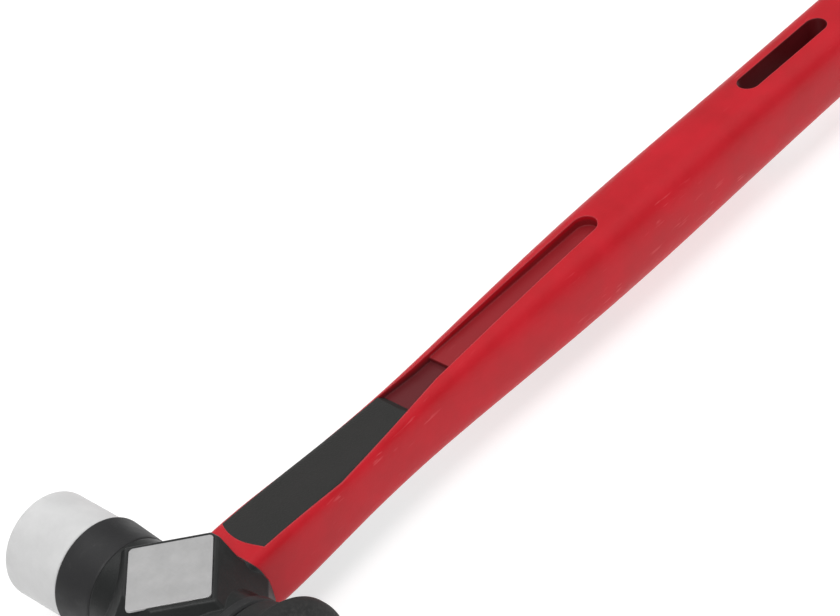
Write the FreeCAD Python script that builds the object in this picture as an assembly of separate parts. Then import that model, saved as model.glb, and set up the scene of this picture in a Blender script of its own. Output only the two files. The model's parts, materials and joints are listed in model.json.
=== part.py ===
import FreeCAD, Part
import os
from math import cos, pi, radians, sin, sqrt, tan

# A soft-face mallet, in millimetres. It is drawn about the crossing of its two axes:
# +X up the handle to the grip, +Y along the head to the light tip, +Z out of the label side.
# It is written out lying on its back, with the origin under the middle of the whole mallet.

V = FreeCAD.Vector

# Head, stations along Y
LIGHT_FACE_Y = 65.0       # striking face of the light tip
TIP_FOOT_Y = 39.2         # shoulder of the light tip, just clear of its collar
COLLAR_FRONT_Y = 38.9
SEAT_Y = 30.4             # end of the core's neck inside the light collar
HOUSING_Y = 23.6          # both ends of the housing
CORE_Y = 22.0             # both shoulders of the core, inside the housing
DARK_SEAT_Y = 26.2        # from here down: distances towards the dark face
DARK_COLLAR_Y = 27.6
DARK_BACK_Y = 28.3
DARK_NECK_Y = 35.0
DARK_RIM_Y = 41.0
DARK_FACE_Y = 47.0

# Head, radii about the Y axis
TIP_R = 17.5
TIP_ROUND = 2.5
SPIGOT_R = 14.2
FOOT_EDGE = 0.6
COLLAR_R = 18.6
COLLAR_TAIL_R = 17.6
COLLAR_BORE_R = 14.6
COLLAR_EDGE = 1.0
DARK_COLLAR_R = 18.4
DARK_COLLAR_EDGE = 0.8
DARK_THROAT_R = 18.6
DARK_NECK_R = 20.8
DARK_R = 25.0
DARK_LAND_R = 20.5        # flat part of the dark striking face
BARREL_R = 17.4           # round barrel that runs between the collars
CORE_R = 14.0
NECK_R = 10.0

# Studs, bushes and washers
GAP = 0.3                 # between pieces that move apart
BUSH_R = 8.0
STUD_R = 6.0
STUD_EDGE = 1.0
THREAD_FIT = 0.07         # stud to bush, on the radius
WASHER_R = 10.6
WASHER_T = 1.2
FLAT_R = 9.0              # stud head: centre to flat
HEX_T = 4.0
LIGHT_BUSH_L = 18.4
LIGHT_STUD_L = 17.6       # stud below its seat
LIGHT_HEX_Y = 44.4        # start of the stud's head inside the tip
DARK_BUSH_L = 16.7
DARK_STUD_L = 15.7
DARK_HEX_Y = 34.5
PLATE_Y = 32.0
PLATE_R = 17.0
PLATE_T = 2.5

# Housing, in plan and end view
BODY_Z = 20.0             # half thickness between the two label flats
BODY_LOW_X = -20.0
LOW_CORNER_Y = 12.4
LOW_CORNER_Z = 13.4
LOW_EDGE_X = -15.0
LOW_FLAT_X = -13.0
SADDLE_R = 24.5           # round end of the socket that the handle shell saddles on
ROUND_END_X = 24.2
ROUND_EDGE_X = 20.4
ROUND_EDGE_Z = 13.0
FLAT_END_X = 20.2
TOP_CORNER_X = 14.0
TOP_CORNER_Y = 13.4
FACET_ANGLE = radians(54)  # slope of the four facets under the label flats
FLAT_MARGIN = 1.4         # flat left round each label
BODY_FILLET = 1.2
PLUG_T = 4.0
PLUG_Y = 8.0
PLUG_Z = 10.0
PLUG_CORNER = 4.0
PLUG_EDGE = 0.6

# Label plate
LABEL_SIDE = 26.0
LABEL_T = 0.8
LABEL_SINK = 0.5
LABEL_X = 1.0
LABEL_CORNER = 1.5
LABEL_FIT = 0.15

# Rod and its fixings
ROD_Y = 5.0
ROD_Z = 7.0
ROD_CORNER = 3.5
ROD_END_X = 255.0
RESIN = 0.5
PIN_R = 2.5
PIN_WALL = 0.8
PIN_SLIT = 0.8
PIN_HALF_L = 18.5
PIN_X = 7.0

# Handle
SHELL_LOW_X = 14.0        # start of the handle's outline, inside the housing
HANDLE_END_X = 330.0
END_ROUND = 4.0
SLOT_LOW_X = 268.0
SLOT_HIGH_X = 312.0
SLOT_R = 4.0
RECESS_LOW_X = 26.2
RECESS_BULGE = 2.6
RECESS_TIP_X = 187.0
RECESS_FLOOR_Z = 9.2      # deep part, which holds the inlay
RECESS_STEP_X = 117.0     # from here up the recess is a shallower groove
RECESS_STEP_Z = 10.8
INLAY_FLAT_X = 84.0       # the inlay is full height up to here
INLAY_END_X = 97.0        # and has run out on the recess floor here

# Recess: x and half width in Y
RECESS_SIDES = [(RECESS_LOW_X + RECESS_BULGE, 9.3), (62.0, 9.3), (110.0, 5.1), (RECESS_TIP_X, 4.5)]

# Stations up the handle: x, half width in Y, half thickness in Z, squareness of the oval
HANDLE_SECTIONS = [
    (SHELL_LOW_X, 11.5, 11.8, 5.0),
    (50.0, 11.5, 11.8, 5.0),
    (85.0, 10.0, 11.6, 4.2),
    (120.0, 10.2, 12.9, 3.6),
    (150.0, 11.5, 14.1, 3.2),
    (190.0, 13.0, 14.8, 3.0),
    (240.0, 13.0, 14.6, 3.0),
    (285.0, 12.8, 13.6, 3.2),
    (HANDLE_END_X, 12.6, 13.0, 3.4),
]
OVAL_POINTS = 36

PLACE = V(-(HANDLE_END_X - DARK_R) / 2, -(LIGHT_FACE_Y - DARK_FACE_Y) / 2, DARK_R)


def rod_y(radius, start, end):
    """Round bar along Y, from the lower to the higher station."""
    low, high = min(start, end), max(start, end)
    return Part.makeCylinder(radius, high - low, V(0, low, 0), V(0, 1, 0))


def ring_y(outer, inner, start, end):
    return rod_y(outer, start, end).cut(rod_y(inner, start, end))


def turned(edges):
    """Solid turned about the Y axis from edges drawn in the XY plane, closed along the axis."""
    face = Part.Face(Part.Wire(edges))
    return face.revolve(V(0, 0, 0), V(0, 1, 0), 360)


def path(*points):
    """Straight edges through points given as (radius, y)."""
    corners = [V(r, y, 0) for r, y in points]
    return [Part.makeLine(a, b) for a, b in zip(corners, corners[1:])]


def arc(start, middle, end):
    return Part.Arc(V(*start, 0), V(*middle, 0), V(*end, 0)).toShape()


def quarter(start, end, centre):
    """Quarter of a circle between two (radius, y) points."""
    radius = sqrt((start[0] - centre[0]) ** 2 + (start[1] - centre[1]) ** 2)
    lean = V(start[0] + end[0] - 2 * centre[0], start[1] + end[1] - 2 * centre[1], 0)
    middle = V(*centre, 0) + lean.normalize() * radius
    return Part.Arc(V(*start, 0), middle, V(*end, 0)).toShape()


def prism_z(points, low, high):
    """Outline in the XY plane, extruded in Z."""
    corners = [V(x, y, low) for x, y in points]
    face = Part.Face(Part.makePolygon(corners + corners[:1]))
    return face.extrude(V(0, 0, high - low))


def prism_y(points, low, high):
    """Outline given as (x, z), extruded in Y."""
    corners = [V(x, low, z) for x, z in points]
    face = Part.Face(Part.makePolygon(corners + corners[:1]))
    return face.extrude(V(0, high - low, 0))


def rounded_section(x, half_y, half_z, corner):
    """Rounded rectangle in a plane across the handle, as a wire."""
    edges = []
    for turn in range(4):
        flip_y = 1 if turn in (0, 3) else -1
        flip_z = 1 if turn in (0, 1) else -1
        centre = V(x, flip_y * (half_y - corner), flip_z * (half_z - corner))
        start = turn * pi / 2
        reach = [V(0, corner * cos(start + k), corner * sin(start + k)) for k in (0, pi / 4, pi / 2)]
        edges.append(Part.Arc(*[centre + r for r in reach]).toShape())
    sides = []
    for here, following in zip(edges, edges[1:] + edges[:1]):
        sides.append(here)
        sides.append(Part.makeLine(here.Vertexes[-1].Point, following.Vertexes[0].Point))
    return Part.Wire(sides)


def bar_x(half_y, half_z, corner, start, end):
    """Bar along X with a rounded rectangular section."""
    return Part.Face(rounded_section(start, half_y, half_z, corner)).extrude(V(end - start, 0, 0))


def mirrored(shape):
    """The same piece on the other label side."""
    return shape.mirror(V(0, 0, 0), V(0, 0, 1))


# Head core and the pieces inside it

def rod_bar():
    return bar_x(ROD_Y, ROD_Z, ROD_CORNER, BODY_LOW_X + PLUG_T, ROD_END_X)


def eye():
    return bar_x(ROD_Y + RESIN, ROD_Z + RESIN, ROD_CORNER + RESIN, -CORE_R, CORE_R)


def core_blank():
    neck = rod_y(NECK_R, -DARK_SEAT_Y, SEAT_Y)
    return rod_y(CORE_R, -CORE_Y, CORE_Y).fuse(neck).removeSplitter()


def pin_bore():
    return Part.makeCylinder(PIN_R, 2 * BODY_Z, V(PIN_X, 0, -BODY_Z))


def light_bush():
    return ring_y(BUSH_R, STUD_R + THREAD_FIT, SEAT_Y - LIGHT_BUSH_L, SEAT_Y)


def dark_bush():
    return ring_y(BUSH_R, STUD_R + THREAD_FIT, -DARK_SEAT_Y, -DARK_SEAT_Y + DARK_BUSH_L)


def head_core():
    light_bore = rod_y(BUSH_R, SEAT_Y - LIGHT_BUSH_L, SEAT_Y)
    dark_bore = rod_y(BUSH_R, -DARK_SEAT_Y, -DARK_SEAT_Y + DARK_BUSH_L)
    return core_blank().cut([light_bore, dark_bore, eye(), pin_bore()])


def eye_resin():
    return eye().common(rod_y(CORE_R, -CORE_R, CORE_R)).cut([rod_bar(), pin_bore()])


def cross_pin():
    """Roll pin: a tube slit along one side."""
    low = V(PIN_X, 0, -PIN_HALF_L)
    tube = Part.makeCylinder(PIN_R, 2 * PIN_HALF_L, low)
    bore = Part.makeCylinder(PIN_R - PIN_WALL, 2 * PIN_HALF_L, low)
    slit = Part.makeBox(2 * PIN_R, PIN_SLIT, 2 * PIN_HALF_L, low - V(0, PIN_SLIT / 2, 0))
    return tube.cut([bore, slit])


# Housing, plug and label plates

def label_outline(grow):
    half = (LABEL_SIDE / 2 + grow) * sqrt(2)
    return [(LABEL_X + half, 0), (LABEL_X, half), (LABEL_X - half, 0), (LABEL_X, -half)]


def facet_block():
    """Two label flats, each on a four-sided slope that widens down to the middle plane."""
    flat = LABEL_SIDE / 2 + FLAT_MARGIN
    foot = flat + BODY_Z / tan(FACET_ANGLE)
    outline = [(flat, BODY_Z), (foot, 0), (flat, -BODY_Z), (-flat, -BODY_Z), (-foot, 0), (-flat, BODY_Z)]
    along = prism_y(outline, -2 * foot, 2 * foot)
    across = along.copy()
    along.rotate(V(0, 0, 0), V(0, 0, 1), 45)
    across.rotate(V(0, 0, 0), V(0, 0, 1), -45)
    block = along.common(across)
    block.translate(V(LABEL_X, 0, 0))
    return block


def side_profile():
    """Housing seen along Y: flats, a low end with bevels, and a round end under the handle."""
    low = [(ROUND_EDGE_X, -ROUND_EDGE_Z), (FLAT_END_X, -BODY_Z), (LOW_FLAT_X, -BODY_Z),
           (BODY_LOW_X, -LOW_CORNER_Z)]
    outline = low + [(x, -z) for x, z in reversed(low)]
    corners = [V(x, -HOUSING_Y, z) for x, z in outline]
    edges = [Part.makeLine(a, b) for a, b in zip(corners, corners[1:])]
    edges.append(Part.Arc(corners[-1], V(ROUND_END_X, -HOUSING_Y, 0), corners[0]).toShape())
    return Part.Face(Part.Wire(edges)).extrude(V(0, 2 * HOUSING_Y, 0))


def saddle():
    """Cylinder along Y whose far side is the joint between housing and handle shell."""
    return rod_y(SADDLE_R, -HOUSING_Y, HOUSING_Y)


def housing_blank():
    """Faceted block, rounded along its edges, on a round barrel, with a socket for the handle."""
    plan = [(BODY_LOW_X, -LOW_CORNER_Y), (LOW_EDGE_X, -HOUSING_Y), (TOP_CORNER_X, -HOUSING_Y),
            (ROUND_END_X, -TOP_CORNER_Y)]
    plan += [(x, -y) for x, y in reversed(plan)]
    block = prism_z(plan, -BODY_Z, BODY_Z).common(side_profile()).common(facet_block())
    block = block.removeSplitter()
    block = block.makeFillet(BODY_FILLET, block.Edges)
    barrel = rod_y(BARREL_R, -HOUSING_Y, HOUSING_Y)
    return block.fuse([barrel, handle_blank().common(saddle())]).removeSplitter()


def label_front():
    low = BODY_Z - LABEL_SINK
    plate = prism_z(label_outline(0), low, low + LABEL_T)
    corners = [e for e in plate.Edges if e.BoundBox.ZLength > LABEL_T / 2]
    return plate.makeFillet(LABEL_CORNER, corners)


def plug_bar():
    return bar_x(PLUG_Y, PLUG_Z, PLUG_CORNER, BODY_LOW_X, BODY_LOW_X + PLUG_T)


def eye_plug():
    cap = plug_bar()
    outer = [e for e in cap.Edges if e.BoundBox.XMax < BODY_LOW_X + PLUG_EDGE]
    return cap.makeChamfer(PLUG_EDGE, outer)


def head_housing():
    label = prism_z(label_outline(LABEL_FIT), BODY_Z - LABEL_SINK, BODY_Z + LABEL_T)
    return housing_blank().cut([core_blank(), rod_bar(), plug_bar(), pin_bore(), label, mirrored(label)])


# Light end

def light_collar():
    back, front = HOUSING_Y + COLLAR_EDGE, COLLAR_FRONT_Y - COLLAR_EDGE
    tail, rim = COLLAR_TAIL_R - COLLAR_EDGE, COLLAR_R - COLLAR_EDGE
    outline = path((NECK_R, HOUSING_Y), (tail, HOUSING_Y))
    outline.append(quarter((tail, HOUSING_Y), (COLLAR_TAIL_R, back), (tail, back)))
    outline += path((COLLAR_TAIL_R, back), (COLLAR_R, front))
    outline.append(quarter((COLLAR_R, front), (rim, COLLAR_FRONT_Y), (rim, front)))
    outline += path((rim, COLLAR_FRONT_Y), (COLLAR_BORE_R, COLLAR_FRONT_Y), (COLLAR_BORE_R, SEAT_Y),
                    (NECK_R, SEAT_Y), (NECK_R, HOUSING_Y))
    return turned(outline)


def light_washer():
    start = SEAT_Y + GAP
    return ring_y(WASHER_R, STUD_R + THREAD_FIT, start, start + WASHER_T)


def hexagon_y(flat, start, end):
    corner = 2 * flat / sqrt(3)
    corners = [V(corner * cos(k * pi / 3), start, corner * sin(k * pi / 3)) for k in range(7)]
    return Part.Face(Part.makePolygon(corners)).extrude(V(0, end - start, 0))


def light_stud():
    shank = rod_y(STUD_R, SEAT_Y - LIGHT_STUD_L, LIGHT_HEX_Y)
    shank = shank.makeChamfer(STUD_EDGE, [e for e in shank.Edges if e.BoundBox.YMax < SEAT_Y])
    return shank.fuse(hexagon_y(FLAT_R, LIGHT_HEX_Y, LIGHT_HEX_Y + HEX_T)).removeSplitter()


def light_tip():
    base = SEAT_Y + 2 * GAP + WASHER_T
    rim = (TIP_R - TIP_ROUND, LIGHT_FACE_Y - TIP_ROUND)
    outline = path((0, base), (SPIGOT_R - FOOT_EDGE, base), (SPIGOT_R, base + FOOT_EDGE),
                   (SPIGOT_R, TIP_FOOT_Y), (TIP_R - FOOT_EDGE, TIP_FOOT_Y),
                   (TIP_R, TIP_FOOT_Y + FOOT_EDGE), (TIP_R, rim[1]))
    outline.append(quarter((TIP_R, rim[1]), (rim[0], LIGHT_FACE_Y), rim))
    outline += path((rim[0], LIGHT_FACE_Y), (0, LIGHT_FACE_Y), (0, base))
    return turned(outline).cut(light_stud())


# Dark end

def dark_collar():
    bore = WASHER_R + GAP
    rim = DARK_COLLAR_R - DARK_COLLAR_EDGE
    outline = path((NECK_R, -HOUSING_Y), (rim, -HOUSING_Y),
                   (DARK_COLLAR_R, -HOUSING_Y - DARK_COLLAR_EDGE),
                   (DARK_COLLAR_R, -DARK_COLLAR_Y + DARK_COLLAR_EDGE), (rim, -DARK_COLLAR_Y),
                   (bore, -DARK_COLLAR_Y), (bore, -DARK_SEAT_Y), (NECK_R, -DARK_SEAT_Y),
                   (NECK_R, -HOUSING_Y))
    return turned(outline)


def dark_washer():
    start = -DARK_SEAT_Y - GAP
    return ring_y(WASHER_R, STUD_R + THREAD_FIT, start - WASHER_T, start)


def dark_stud():
    shank = rod_y(STUD_R, -DARK_HEX_Y, -DARK_SEAT_Y + DARK_STUD_L)
    shank = shank.makeChamfer(STUD_EDGE, [e for e in shank.Edges if e.BoundBox.YMin > -DARK_SEAT_Y])
    return shank.fuse(hexagon_y(FLAT_R, -DARK_HEX_Y - HEX_T, -DARK_HEX_Y)).removeSplitter()


def backing_plate():
    return ring_y(PLATE_R, STUD_R, -PLATE_Y - PLATE_T, -PLATE_Y)


def dark_face():
    """Bell of black rubber, moulded round its steel plate and the head of its stud."""
    round_r = DARK_R - DARK_LAND_R
    turn_y = -DARK_FACE_Y + round_r
    throat = (DARK_THROAT_R, -DARK_BACK_Y - FOOT_EDGE)
    outline = path((0, -DARK_BACK_Y), (DARK_THROAT_R - FOOT_EDGE, -DARK_BACK_Y), throat)
    outline.append(arc(throat, (DARK_NECK_R, -DARK_NECK_Y), (DARK_R, -DARK_RIM_Y)))
    outline += path((DARK_R, -DARK_RIM_Y), (DARK_R, turn_y))
    outline.append(quarter((DARK_R, turn_y), (DARK_LAND_R, -DARK_FACE_Y), (DARK_LAND_R, turn_y)))
    outline += path((DARK_LAND_R, -DARK_FACE_Y), (0, -DARK_FACE_Y), (0, -DARK_BACK_Y))
    return turned(outline).cut([dark_stud(), backing_plate()])


# Handle

def oval(x, half_y, half_z, power):
    """Squared oval across the handle, as a closed smooth wire."""
    points = []
    for k in range(OVAL_POINTS):
        angle = 2 * pi * k / OVAL_POINTS
        reach = (abs(cos(angle) / half_y) ** power + abs(sin(angle) / half_z) ** power) ** (-1 / power)
        points.append(V(x, reach * cos(angle), reach * sin(angle)))
    curve = Part.BSplineCurve()
    curve.interpolate(Points=points, PeriodicFlag=True)
    return Part.Wire([curve.toShape()])


def handle_blank():
    grip = Part.makeLoft([oval(*row) for row in HANDLE_SECTIONS], True)
    tail = [e for e in grip.Edges if e.BoundBox.XMin > HANDLE_END_X - END_ROUND]
    return grip.makeFillet(END_ROUND, tail)


def recess():
    """Pocket in the label side, wide and deep near the head, narrow and shallow up the handle."""
    low_y, tip_y = RECESS_SIDES[0][1], RECESS_SIDES[-1][1]
    low_x = RECESS_SIDES[0][0]
    right = [V(x, y, 0) for x, y in RECESS_SIDES]
    left = [V(x, -y, 0) for x, y in RECESS_SIDES]
    outline = [arc((low_x, low_y), (RECESS_LOW_X, 0), (low_x, -low_y))]
    outline += [Part.makeLine(a, b) for a, b in zip(left, left[1:])]
    outline.append(arc((RECESS_TIP_X, -tip_y), (RECESS_TIP_X + tip_y, 0), (RECESS_TIP_X, tip_y)))
    outline += [Part.makeLine(b, a) for a, b in reversed(list(zip(right, right[1:])))]
    pocket = Part.Face(Part.Wire(outline)).extrude(V(0, 0, BODY_Z))
    pocket.translate(V(0, 0, RECESS_FLOOR_Z))
    shelf = Part.makeBox(RECESS_TIP_X, 2 * BODY_Z, RECESS_STEP_Z - RECESS_FLOOR_Z,
                         V(RECESS_STEP_X, -BODY_Z, RECESS_FLOOR_Z))
    return pocket.cut(shelf)


def hanging_slot():
    length = SLOT_HIGH_X - SLOT_LOW_X - 2 * SLOT_R
    ends = [Part.makeCylinder(SLOT_R, 2 * BODY_Z, V(x, 0, -BODY_Z))
            for x in (SLOT_LOW_X + SLOT_R, SLOT_HIGH_X - SLOT_R)]
    middle = Part.makeBox(length, 2 * SLOT_R, 2 * BODY_Z, V(SLOT_LOW_X + SLOT_R, -SLOT_R, -BODY_Z))
    return middle.fuse(ends).removeSplitter()


def handle_shell():
    hollows = [saddle(), recess(), mirrored(recess()), hanging_slot(), rod_bar()]
    return handle_blank().cut(hollows)


def inlay_front():
    """Soft inlay that fills the lower recess and ramps down to its floor."""
    high = BODY_Z
    side = [(RECESS_LOW_X, RECESS_FLOOR_Z), (RECESS_LOW_X, high), (INLAY_FLAT_X, high),
            (INLAY_END_X, RECESS_FLOOR_Z)]
    return recess().common(handle_blank()).common(prism_y(side, -BODY_Z, BODY_Z))


PIECES = {
    "head_housing": head_housing,
    "head_core": head_core,
    "light_bush": light_bush,
    "dark_bush": dark_bush,
    "eye_resin": eye_resin,
    "cross_pin": cross_pin,
    "eye_plug": eye_plug,
    "label_front": label_front,
    "label_back": lambda: mirrored(label_front()),
    "light_collar": light_collar,
    "light_washer": light_washer,
    "light_stud": light_stud,
    "light_tip": light_tip,
    "dark_collar": dark_collar,
    "dark_washer": dark_washer,
    "dark_stud": dark_stud,
    "backing_plate": backing_plate,
    "dark_face": dark_face,
    "handle_rod": lambda: rod_bar().cut(pin_bore()),
    "handle_shell": handle_shell,
    "inlay_front": inlay_front,
    "inlay_back": lambda: mirrored(inlay_front()),
}

os.makedirs("parts", exist_ok=True)
for name, make in PIECES.items():
    piece = make()
    piece.translate(PLACE)
    piece.exportStep(f"parts/{name}.step")
    print(f"{name:14} solids {len(piece.Solids)}  valid {piece.isValid()}  {piece.Volume / 1000:8.2f} cm3")
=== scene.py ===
import json
from math import cos, pi, radians, sin, tau

import bmesh
import bpy
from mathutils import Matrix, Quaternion, Vector


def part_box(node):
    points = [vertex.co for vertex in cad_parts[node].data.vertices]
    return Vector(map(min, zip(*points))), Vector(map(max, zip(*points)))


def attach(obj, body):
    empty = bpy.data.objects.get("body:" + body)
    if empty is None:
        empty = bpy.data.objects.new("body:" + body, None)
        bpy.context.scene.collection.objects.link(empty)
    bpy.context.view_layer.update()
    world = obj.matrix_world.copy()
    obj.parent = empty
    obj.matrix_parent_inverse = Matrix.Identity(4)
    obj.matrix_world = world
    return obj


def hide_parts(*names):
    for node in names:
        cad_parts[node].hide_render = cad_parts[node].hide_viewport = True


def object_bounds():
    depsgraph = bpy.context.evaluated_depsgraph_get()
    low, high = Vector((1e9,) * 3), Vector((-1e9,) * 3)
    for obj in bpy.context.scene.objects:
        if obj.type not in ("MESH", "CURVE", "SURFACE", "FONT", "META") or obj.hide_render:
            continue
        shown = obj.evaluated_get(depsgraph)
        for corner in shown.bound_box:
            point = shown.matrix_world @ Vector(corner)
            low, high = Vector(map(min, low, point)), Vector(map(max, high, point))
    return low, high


# A soft-face mallet lying with one label side up: looks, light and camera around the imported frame.
# Sizes are in metres. +X is up the handle, +Y out of the light tip, +Z out of the upper label.

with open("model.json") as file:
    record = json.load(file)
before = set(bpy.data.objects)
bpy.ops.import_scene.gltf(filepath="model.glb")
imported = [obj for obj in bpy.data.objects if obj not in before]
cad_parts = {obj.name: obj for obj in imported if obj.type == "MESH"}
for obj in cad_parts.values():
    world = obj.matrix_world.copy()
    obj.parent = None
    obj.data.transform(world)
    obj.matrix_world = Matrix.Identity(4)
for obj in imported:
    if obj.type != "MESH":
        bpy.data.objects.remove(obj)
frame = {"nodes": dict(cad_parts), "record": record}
bounds_at_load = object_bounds()
MM = 0.001


def middle(node):
    low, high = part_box(node)
    return (Vector(low) + Vector(high)) / 2


# The head and handle axes cross here
HEAD = Vector((middle("light_tip").x, middle("head_housing").y, middle("light_tip").z))

# The handle's pockets, as in the CAD, measured from HEAD, where the red shell gets painted shade
RECESS_FLOOR = 9.2 * MM                   # deep part, which holds the inlay
RECESS_STEP = 10.8 * MM                   # floor of the shallower groove further up
RECESS_OPEN = (84.0 * MM, 192.0 * MM)     # along X, from where the inlay slopes down to the tip
RECESS_WIDE = (62.0 * MM, 9.3 * MM)       # X and half width
RECESS_NARROW = (110.0 * MM, 5.1 * MM)
BRIM = (11.0 * MM, 13.8 * MM)             # about where its walls end, at the ends of RECESS_OPEN
SLOT_X = 290.0 * MM                       # middle of the hanging slot
SLOT_STRAIGHT = 18.0 * MM                 # half the length of its straight sides
SLOT_HALF = 4.0 * MM                      # half its width

# The painted shade in the pockets fades over these distances
WALL_FADE = (0.12 * MM, 0.02 * MM)        # outside a recess wall: none here, full here
SLOT_FADE = (0.15 * MM, 0.03 * MM)
END_FADE = 1.0 * MM
BRIM_FADE = 1.0 * MM
FLOOR_FADE = 0.3 * MM

# Studs. The CAD has them as plain cylinders with hexagon heads.
STUD_R = 5.99 * MM
STUD_SIDES = 48
STUD_TAPER = 1.4 * MM                     # thread turned away at the free end
PITCH = 1.75 * MM
THREAD_DEPTH = 1.07 * MM
THREAD_FLAT = 0.12                        # part of a triangle wave cut off flat at root and at crest
RINGS_A_PITCH = 12
HEX_T = 4.0 * MM
HEX_FLAT = 9.0 * MM                       # half the width across flats
HEX_END = 8.6 * MM                        # the same where the head's ends are turned off
HEX_CHAMFER = 0.5 * MM

# Spring washers. The CAD has them as plain rings.
WASHER_BORE = 6.1 * MM
WASHER_THICK = 0.85 * MM
WASHER_INSET = 0.02 * MM                  # how far its rim stays inside the CAD's
WASHER_CUT = radians(14)
WASHER_STEPS = 72

# Camera: looks down on the upper label from beyond the dark end, rolled so the handle climbs
LOOK_AT = HEAD + Vector((0.128, 0.0175, 0.0175))
AZIMUTH = radians(36.06)
ELEVATION = radians(38.93)
ROLL = radians(-16.4)
DISTANCE = 0.989
LENS = 134.2                              # millimetres, as Blender counts it
SENSOR = 36.0

# Lights: name, place from HEAD, diameter, power in watts
LIGHTS = [
    ("key", (-0.3, -0.25, 1.4), 0.8, 8.2),
    ("fill", (0.9, -0.3, 1.0), 1.2, 2.0),
    ("rim", (0.2, 1.0, 0.9), 0.8, 1.5),
]
SKY_STRENGTH = 0.82
SKY_HEIGHT = 0.9                          # sine of the elevation where the sky is brightest
FLOOR_SIZE = 24.0                         # wide enough to fill the view of a low camera


# Shader helpers

def fill(tree, socket, value):
    """Puts a constant, or the socket of an earlier node, into a socket."""
    if isinstance(value, bpy.types.NodeSocket):
        tree.links.new(value, socket)
    else:
        socket.default_value = value


def add(tree, kind, settings=None, **inputs):
    """One shader node. Inputs go by name, with _ for a space, or by number as i0, i1 and so on."""
    node = tree.nodes.new("ShaderNode" + kind)
    for key, value in (settings or {}).items():
        setattr(node, key, value)
    for key, value in inputs.items():
        socket = node.inputs[int(key[1:])] if key[1:].isdigit() else node.inputs[key.replace("_", " ")]
        fill(tree, socket, value)
    return node


def place(tree, stretch=(1, 1, 1), turn=(0, 0, 0)):
    """Object coordinates in metres, stretched and turned."""
    coordinates = add(tree, "TexCoord").outputs["Object"]
    mapping = add(tree, "Mapping", Vector=coordinates, Scale=stretch, Rotation=turn)
    return mapping.outputs["Vector"]


def about_head(tree):
    """X, Y and Z sockets measured from HEAD."""
    coordinates = add(tree, "TexCoord").outputs["Object"]
    mapping = add(tree, "Mapping", Vector=coordinates, Location=-HEAD)
    return add(tree, "SeparateXYZ", Vector=mapping.outputs["Vector"]).outputs


def size_of(tree, value):
    return add(tree, "Math", {"operation": "ABSOLUTE"}, i0=value).outputs[0]


def product(tree, first, second):
    return add(tree, "Math", {"operation": "MULTIPLY"}, i0=first, i1=second).outputs[0]


def difference(tree, first, second):
    return add(tree, "Math", {"operation": "SUBTRACT"}, i0=first, i1=second).outputs[0]


def noise(tree, where, scale, detail=3.0, rough=0.5):
    """Cloudy 0..1 field with about scale lumps a metre."""
    return add(tree, "TexNoise", Vector=where, Scale=scale, Detail=detail, Roughness=rough).outputs["Fac"]


def remap(tree, value, low, high, to_low=0.0, to_high=1.0):
    settings = {"clamp": True}
    inputs = {"Value": value, "From_Min": low, "From_Max": high, "To_Min": to_low, "To_Max": to_high}
    return add(tree, "MapRange", settings, **inputs).outputs["Result"]


def spread(tree, field, to_low=0.0, to_high=1.0):
    """Noise keeps mostly between 0.3 and 0.7, and this spreads that middle over a full range."""
    return remap(tree, field, 0.3, 0.7, to_low, to_high)


def blend(tree, factor, first, second):
    mix = add(tree, "Mix", {"data_type": "RGBA"}, i0=factor, i6=first, i7=second)
    return mix.outputs[2]


def rgba(red, green, blue):
    return (red, green, blue, 1.0)


def grey(level):
    return rgba(level, level, level)


def edges(tree, radius):
    """The rounded normal, and a mask of the edges from how far it turns away from the true one."""
    rounded = add(tree, "Bevel", {"samples": 6}, Radius=radius).outputs["Normal"]
    true = add(tree, "NewGeometry").outputs["True Normal"]
    turn = add(tree, "VectorMath", {"operation": "DOT_PRODUCT"}, i0=rounded, i1=true).outputs["Value"]
    return rounded, remap(tree, turn, 0.995, 0.86)


def relief(tree, height, depth, strength, over):
    """Bump from a 0..1 height field, depth in metres, over a rounded normal."""
    bump = add(tree, "Bump", Height=height, Distance=depth, Strength=strength, Normal=over)
    return bump.outputs["Normal"]


def surface(name, build):
    """A material whose shader sockets are filled by build(tree)."""
    material = bpy.data.materials.new(name)
    material.use_nodes = True
    tree = material.node_tree
    shader = tree.nodes["Principled BSDF"]
    for key, value in build(tree).items():
        fill(tree, shader.inputs[key], value)
    return material


# Materials

def moulded_black(tree, dark, light, rough, grain, wear=0.3):
    """Moulded black plastic: spark-eroded grain, cloudy sheen, faint dust and greyed edges."""
    where = place(tree)
    cloud = noise(tree, where, 70.0, 4.0)
    dust = product(tree, remap(tree, noise(tree, where, 260.0, 6.0, 0.7), 0.55, 0.8),
                   remap(tree, cloud, 0.4, 0.7))
    rounded, edge = edges(tree, 0.7 * MM)
    worn = product(tree, edge, remap(tree, noise(tree, where, 190.0, 4.0), 0.35, 0.65))
    base = blend(tree, spread(tree, cloud), rgba(*dark), rgba(*light))
    base = blend(tree, product(tree, dust, 0.2), base, rgba(0.1, 0.098, 0.095))
    base = blend(tree, product(tree, worn, wear), base, grey(0.16))
    gloss = spread(tree, noise(tree, where, 120.0, 5.0), rough - 0.06, rough + 0.1)
    speck = noise(tree, where, grain, 2.0)
    return {"Base Color": base, "Roughness": gloss, "Specular IOR Level": 0.35,
            "Normal": relief(tree, speck, 0.12 * MM, 0.45, rounded)}


def housing_plastic(tree):
    return moulded_black(tree, (0.004, 0.005, 0.005), (0.009, 0.01, 0.01), 0.42, 1800.0)


def collar_plastic(tree):
    return moulded_black(tree, (0.011, 0.011, 0.012), (0.018, 0.018, 0.019), 0.5, 2400.0, 0.4)


def plug_plastic(tree):
    return moulded_black(tree, (0.008, 0.008, 0.009), (0.014, 0.014, 0.015), 0.5, 2000.0)


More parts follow.
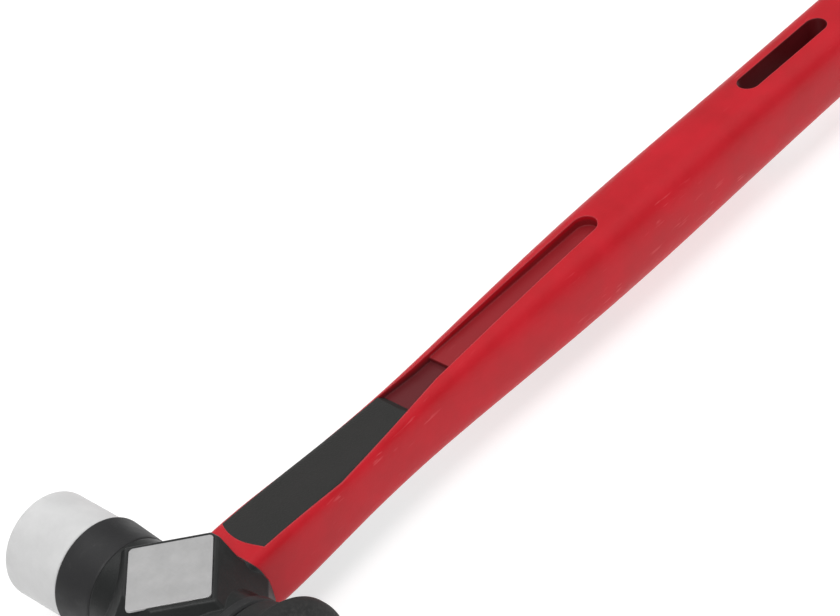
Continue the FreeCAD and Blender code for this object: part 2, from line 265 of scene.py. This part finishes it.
def soft_inlay(tree):
    """Soft-touch rubbery plastic with a fine net of dimples and paler edges."""
    where = place(tree)
    cells = add(tree, "TexVoronoi", {"feature": "DISTANCE_TO_EDGE"}, Vector=where, Scale=700.0)
    dimple = remap(tree, cells.outputs["Distance"], 0.0, 0.25)
    cloud = noise(tree, where, 90.0, 4.0)
    rounded, edge = edges(tree, 0.5 * MM)
    base = blend(tree, spread(tree, cloud), rgba(0.012, 0.012, 0.011), rgba(0.021, 0.02, 0.019))
    base = blend(tree, product(tree, edge, 0.25), base, rgba(0.09, 0.088, 0.086))
    return {"Base Color": base, "Roughness": spread(tree, cloud, 0.55, 0.72),
            "Specular IOR Level": 0.35, "Normal": relief(tree, dimple, 0.1 * MM, 0.5, rounded)}


def recess_shade_masks(tree):
    """Masks of painted shade in the side recess beyond its inlay: all of it, and its deep part."""
    x, y, z = about_head(tree)
    side, height = size_of(tree, y), size_of(tree, z)
    (wide_x, wide_half), (narrow_x, narrow_half) = RECESS_WIDE, RECESS_NARROW
    half = remap(tree, x, wide_x, narrow_x, wide_half, narrow_half)
    inside = remap(tree, difference(tree, side, half), *WALL_FADE)
    start, end = RECESS_OPEN
    length = product(tree, remap(tree, x, start - END_FADE, start), remap(tree, x, end + END_FADE, end))
    brim = remap(tree, x, start, end, *BRIM)
    recess = product(tree, product(tree, inside, length),
                     remap(tree, difference(tree, brim, height), 0.0, BRIM_FADE))
    deep = product(tree, recess, remap(tree, height, RECESS_STEP, RECESS_FLOOR + FLOOR_FADE))
    return recess, deep


def slot_shade_mask(tree):
    """Mask of painted shade on the hanging slot's walls, from the distance to the middle line of the
    slot.
    """
    x, y = about_head(tree)[:2]
    past = difference(tree, size_of(tree, difference(tree, x, SLOT_X)), SLOT_STRAIGHT)
    past = add(tree, "Math", {"operation": "MAXIMUM"}, i0=past, i1=0.0).outputs[0]
    offset = add(tree, "CombineXYZ", X=past, Y=size_of(tree, y)).outputs["Vector"]
    distance = add(tree, "VectorMath", {"operation": "LENGTH"}, i0=offset).outputs["Value"]
    outside, inside = SLOT_FADE
    return remap(tree, distance, SLOT_HALF + outside, SLOT_HALF + inside)


def red_shell(tree):
    """Satin red plastic: cloudy, finely grained, darker down in its pockets and hanging slot as painted
    shade, paler on its edges as a painted highlight.
    """
    where = place(tree)
    along = place(tree, (0.12, 1, 1), (0.2, 0.1, 0.35))
    cloud = noise(tree, where, 55.0, 5.0, 0.6)
    scratch = remap(tree, noise(tree, along, 900.0, 2.0, 0.4), 0.66, 0.72)
    scratch = product(tree, scratch, remap(tree, noise(tree, where, 30.0), 0.48, 0.62))
    rounded, edge = edges(tree, 0.8 * MM)
    recess, deep = recess_shade_masks(tree)
    base = blend(tree, spread(tree, cloud), rgba(0.45, 0.005, 0.012), rgba(0.56, 0.008, 0.019))
    base = blend(tree, product(tree, scratch, 0.4), base, rgba(0.72, 0.12, 0.13))
    # Painted highlight: paler red along the rounded edges
    base = blend(tree, product(tree, edge, 0.45), base, rgba(0.66, 0.11, 0.13))
    # Painted shade: darker red over the side recess, and darker still over its deep part below
    base = blend(tree, product(tree, recess, 0.75), base, rgba(0.2, 0.016, 0.02))
    base = blend(tree, product(tree, deep, 0.8), base, rgba(0.08, 0.012, 0.015))
    # Painted shade: dark red on the hanging slot's walls
    base = blend(tree, product(tree, slot_shade_mask(tree), 0.85), base, rgba(0.07, 0.008, 0.01))
    grain = noise(tree, where, 1500.0, 2.0)
    return {"Base Color": base, "Roughness": spread(tree, cloud, 0.36, 0.52),
            "Specular IOR Level": 0.22, "Normal": relief(tree, grain, 0.1 * MM, 0.35, rounded)}


def nylon(tree):
    """Pale grey nylon: faintly blotched, scuffed near its striking face, paler on its edges."""
    where = place(tree)
    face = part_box("light_tip")[1][1] - HEAD.y
    near_face = remap(tree, about_head(tree)["Y"], face - 5 * MM, face - 0.5 * MM)
    cloud = noise(tree, where, 90.0, 5.0, 0.6)
    scuff = remap(tree, noise(tree, place(tree, (1, 0.4, 2.5)), 420.0, 6.0, 0.7), 0.52, 0.72)
    rounded, edge = edges(tree, 0.6 * MM)
    worn = product(tree, product(tree, scuff, near_face), 0.5)
    base = blend(tree, spread(tree, cloud), grey(0.59), grey(0.67))
    base = blend(tree, worn, base, rgba(0.38, 0.37, 0.36))
    base = blend(tree, product(tree, edge, 0.3), base, grey(0.75))
    grain = noise(tree, where, 1300.0, 3.0)
    return {"Base Color": base, "Roughness": spread(tree, cloud, 0.45, 0.6),
            "Specular IOR Level": 0.4, "Normal": relief(tree, grain, 0.1 * MM, 0.4, rounded),
            "Subsurface Weight": 0.06, "Subsurface Radius": (3 * MM, 3 * MM, 3 * MM)}


def rubber(tree):
    """Black rubber, chalky in patches where it strikes."""
    where = place(tree)
    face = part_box("dark_face")[0][1] - HEAD.y
    near_face = remap(tree, about_head(tree)["Y"], face + 5 * MM, face)
    cloud = noise(tree, where, 80.0, 6.0, 0.65)
    dust = remap(tree, noise(tree, where, 800.0, 4.0, 0.6), 0.42, 0.72)
    chalk = product(tree, product(tree, dust, near_face), remap(tree, cloud, 0.35, 0.6))
    rounded, edge = edges(tree, 0.8 * MM)
    base = blend(tree, spread(tree, cloud), grey(0.01), grey(0.02))
    base = blend(tree, product(tree, chalk, 0.4), base, rgba(0.11, 0.106, 0.102))
    base = blend(tree, product(tree, edge, 0.2), base, grey(0.1))
    grain = noise(tree, where, 700.0, 5.0, 0.6)
    return {"Base Color": base, "Roughness": spread(tree, cloud, 0.62, 0.8),
            "Specular IOR Level": 0.35, "Normal": relief(tree, grain, 0.15 * MM, 0.5, rounded)}


def satin_foil(tree):
    """Silver label plate, brushed along one edge, with small smudges and a bright rim."""
    brushed = place(tree, (1, 0.03, 1), (0, 0, pi / 4))
    where = place(tree)
    lines = noise(tree, brushed, 2600.0, 3.0)
    smudge = noise(tree, where, 160.0, 4.0, 0.6)
    rounded, edge = edges(tree, 0.3 * MM)
    base = blend(tree, spread(tree, smudge), rgba(0.37, 0.368, 0.368), rgba(0.46, 0.458, 0.458))
    base = blend(tree, product(tree, edge, 0.5), base, rgba(0.62, 0.62, 0.63))
    return {"Base Color": base, "Roughness": spread(tree, smudge, 0.34, 0.5),
            "Metallic": 0.5, "Normal": relief(tree, lines, 0.05 * MM, 0.4, rounded)}


def zinc_steel(tree):
    """Zinc-plated steel with faint turning lines and dull patches."""
    where = place(tree)
    patches = noise(tree, where, 220.0, 5.0, 0.6)
    lines = noise(tree, place(tree, (0.1, 1, 0.1)), 3200.0, 2.0)
    rounded, edge = edges(tree, 0.2 * MM)
    base = blend(tree, spread(tree, patches), grey(0.46), rgba(0.66, 0.65, 0.63))
    base = blend(tree, product(tree, edge, 0.4), base, grey(0.8))
    return {"Base Color": base, "Roughness": spread(tree, patches, 0.24, 0.42), "Metallic": 1.0,
            "Normal": relief(tree, lines, 0.04 * MM, 0.4, rounded)}


def cast_iron(tree):
    where = place(tree)
    lumps = noise(tree, where, 380.0, 6.0, 0.65)
    rounded = edges(tree, 0.5 * MM)[0]
    base = blend(tree, spread(tree, lumps), rgba(0.11, 0.11, 0.115), rgba(0.24, 0.235, 0.23))
    return {"Base Color": base, "Roughness": spread(tree, lumps, 0.5, 0.75), "Metallic": 0.8,
            "Normal": relief(tree, lumps, 0.3 * MM, 0.6, rounded)}


def cured_resin(tree):
    cloud = noise(tree, place(tree), 300.0, 4.0)
    rounded = edges(tree, 0.3 * MM)[0]
    base = blend(tree, cloud, rgba(0.42, 0.28, 0.1), rgba(0.6, 0.45, 0.2))
    return {"Base Color": base, "Roughness": spread(tree, cloud, 0.2, 0.4),
            "Normal": relief(tree, cloud, 0.1 * MM, 0.3, rounded)}


def fibreglass(tree):
    """Dark pultruded rod: long fibres along X."""
    fibres = noise(tree, place(tree, (0.02, 1, 1)), 2200.0, 3.0)
    rounded = edges(tree, 0.3 * MM)[0]
    base = blend(tree, fibres, rgba(0.03, 0.028, 0.022), rgba(0.11, 0.105, 0.085))
    return {"Base Color": base, "Roughness": spread(tree, fibres, 0.35, 0.55),
            "Normal": relief(tree, fibres, 0.08 * MM, 0.4, rounded)}


SURFACES = {
    "housing_black": housing_plastic,
    "core_iron": cast_iron,
    "bright_steel": zinc_steel,
    "resin": cured_resin,
    "plug_black": plug_plastic,
    "label_silver": satin_foil,
    "collar_black": collar_plastic,
    "tip_nylon": nylon,
    "face_rubber": rubber,
    "rod_fibreglass": fibreglass,
    "shell_red": red_shell,
    "inlay_black": soft_inlay,
}


def paint(piece, material):
    piece.data.materials.clear()
    piece.data.materials.append(material)


materials = {slot: surface(slot, build) for slot, build in SURFACES.items()}
for entry in frame["record"]["subparts"]:
    paint(frame["nodes"][entry["node"]], materials[entry["material_slot"]])


# Screw threads and spring washers

def thread_radius(height, angle, length):
    """Radius of a right-hand thread at one height and angle, tapered at the free end."""
    phase = (height / PITCH - angle / tau) % 1.0
    rise = (abs(phase - 0.5) * 2 - THREAD_FLAT) / (1 - 2 * THREAD_FLAT)
    crest = min(max(rise, 0.0), 1.0)
    taper = max(0.0, STUD_TAPER - (length - height))
    return min(STUD_R - THREAD_DEPTH * (1 - crest), STUD_R - taper)


def hexagon_radius(flat):
    """Radius of a hexagon as a function of angle, from half its width across flats."""
    def radius_at(angle):
        lean = (angle + pi / 6) % (pi / 3) - pi / 6
        return flat / cos(lean)
    return radius_at


def ring_about_y(vertices, y, radius_at):
    """Adds one ring of vertices about the head's axis and returns their numbers."""
    first = len(vertices)
    for k in range(STUD_SIDES):
        angle = k * tau / STUD_SIDES
        radius = radius_at(angle)
        vertices.append(Vector((HEAD.x + radius * sin(angle), y, HEAD.z + radius * cos(angle))))
    return list(range(first, first + STUD_SIDES))


def close_tube(rings, faces, vertices):
    """Joins rings of equal length, whose vertices are already listed, into a closed tube."""
    count = len(rings[0])
    for lower, upper in zip(rings, rings[1:]):
        for k in range(count):
            after = (k + 1) % count
            faces.append((lower[k], lower[after], upper[after], upper[k]))
    for ring, flip in ((rings[0], True), (rings[-1], False)):
        centre = len(vertices)
        vertices.append(sum((Vector(vertices[i]) for i in ring), Vector()) / count)
        for k in range(count):
            after = (k + 1) % count
            faces.append((ring[after], ring[k], centre) if flip else (ring[k], ring[after], centre))


def make_piece(name, vertices, faces, material, body, node):
    """A mesh piece that rides on a body and stands for a CAD node."""
    mesh = bpy.data.meshes.new(name)
    mesh.from_pydata(vertices, [], faces)
    mesh.validate()
    piece = bpy.data.objects.new(name, mesh)
    bpy.context.scene.collection.objects.link(piece)
    outward = bmesh.new()
    outward.from_mesh(mesh)
    bmesh.ops.recalc_face_normals(outward, faces=outward.faces)
    outward.to_mesh(mesh)
    outward.free()
    paint(piece, materials[material])
    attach(piece, body)
    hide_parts(node)


def make_stud(node, body, out):
    """Threaded stud with a hexagon head. out is +1 at the light end and -1 at the dark end."""
    low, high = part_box(node)
    head, point = (high[1], low[1]) if out > 0 else (low[1], high[1])
    length = abs(head - point) - HEX_T
    steps = int(length / PITCH * RINGS_A_PITCH)
    vertices, faces, thread = [], [], []
    for step in range(steps + 1):
        height = length * step / steps
        # Height runs from the head to the point, so out decides which way the helix climbs
        thread.append(ring_about_y(vertices, head - out * (HEX_T + height),
                                   lambda angle: thread_radius(height, -out * angle, length)))
    close_tube(thread, faces, vertices)
    flat, end = hexagon_radius(HEX_FLAT), hexagon_radius(HEX_END)
    levels = [(0.0, end), (HEX_CHAMFER, flat), (HEX_T - HEX_CHAMFER, flat), (HEX_T, end)]
    hexagon = [ring_about_y(vertices, head - out * level, shape) for level, shape in levels]
    close_tube(hexagon, faces, vertices)
    make_piece(node + "_threaded", vertices, faces, "bright_steel", body, node)


def make_spring_washer(node, body):
    """Ring with a rectangular section, cut through and sprung a little open along the stud."""
    low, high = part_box(node)
    rim = (high[0] - low[0]) / 2 - WASHER_INSET
    rise = high[1] - low[1] - WASHER_THICK
    centre = Vector((HEAD.x, 0, HEAD.z))
    vertices, faces, rings = [], [], []
    for step in range(WASHER_STEPS + 1):
        angle = WASHER_CUT / 2 + (tau - WASHER_CUT) * step / WASHER_STEPS
        bottom = low[1] + rise * step / WASHER_STEPS
        top = bottom + WASHER_THICK
        out = Vector((sin(angle), 0, cos(angle)))
        first = len(vertices)
        for radius, y in ((WASHER_BORE, bottom), (rim, bottom), (rim, top), (WASHER_BORE, top)):
            vertices.append(centre + out * radius + Vector((0, y, 0)))
        rings.append(list(range(first, len(vertices))))
    close_tube(rings, faces, vertices)
    make_piece(node + "_split", vertices, faces, "bright_steel", body, node)


make_stud("light_stud", "light_striker", 1)
make_stud("dark_stud", "dark_striker", -1)
make_spring_washer("light_washer", "light_lock")
make_spring_washer("dark_washer", "dark_lock")


# Camera, light and floor

def make_camera():
    data = bpy.data.cameras.new("camera")
    data.lens = LENS
    data.sensor_width = SENSOR
    data.clip_start = 10 * MM
    camera = bpy.data.objects.new("camera", data)
    bpy.context.scene.collection.objects.link(camera)
    ahead = Vector((sin(AZIMUTH) * cos(ELEVATION), cos(AZIMUTH) * cos(ELEVATION), -sin(ELEVATION)))
    camera.location = LOOK_AT - ahead * DISTANCE
    camera.rotation_mode = "QUATERNION"
    camera.rotation_quaternion = ahead.to_track_quat("-Z", "Y") @ Quaternion((0, 0, 1), ROLL)
    bpy.context.scene.camera = camera


def make_light(name, offset, diameter, power):
    """Round soft light that looks at HEAD."""
    data = bpy.data.lights.new(name, "AREA")
    data.shape = "DISK"
    data.size = diameter
    data.energy = power
    light = bpy.data.objects.new(name, data)
    bpy.context.scene.collection.objects.link(light)
    light.location = HEAD + Vector(offset)
    light.rotation_mode = "QUATERNION"
    light.rotation_quaternion = (-Vector(offset)).to_track_quat("-Z", "Y")


def floor_paint(tree):
    """Pale matt floor that glows a little, so that it reads as white."""
    tone = spread(tree, noise(tree, place(tree), 3.0, 2.0))
    return {"Base Color": blend(tree, tone, grey(0.5), grey(0.53)),
            "Roughness": 0.9, "Emission Color": grey(1.0), "Emission Strength": 0.6}


def make_floor():
    bpy.ops.mesh.primitive_plane_add(size=FLOOR_SIZE, location=(HEAD.x, HEAD.y, bounds_at_load[0][2]))
    floor = bpy.context.object
    floor.name = "floor"
    paint(floor, surface("floor_paint", floor_paint))


def make_world():
    """Soft light from overhead that falls off towards the horizon."""
    world = bpy.data.worlds.new("studio")
    world.use_nodes = True
    tree = world.node_tree
    direction = add(tree, "TexCoord").outputs["Generated"]
    height = add(tree, "SeparateXYZ", Vector=direction).outputs["Z"]
    glow = blend(tree, remap(tree, height, 0.0, SKY_HEIGHT), grey(0.25), grey(1.0))
    background = tree.nodes["Background"]
    fill(tree, background.inputs["Color"], glow)
    fill(tree, background.inputs["Strength"], SKY_STRENGTH)
    bpy.context.scene.world = world


make_camera()
for settings in LIGHTS:
    make_light(*settings)
make_floor()
make_world()
bpy.context.scene.view_settings.view_transform = "Standard"
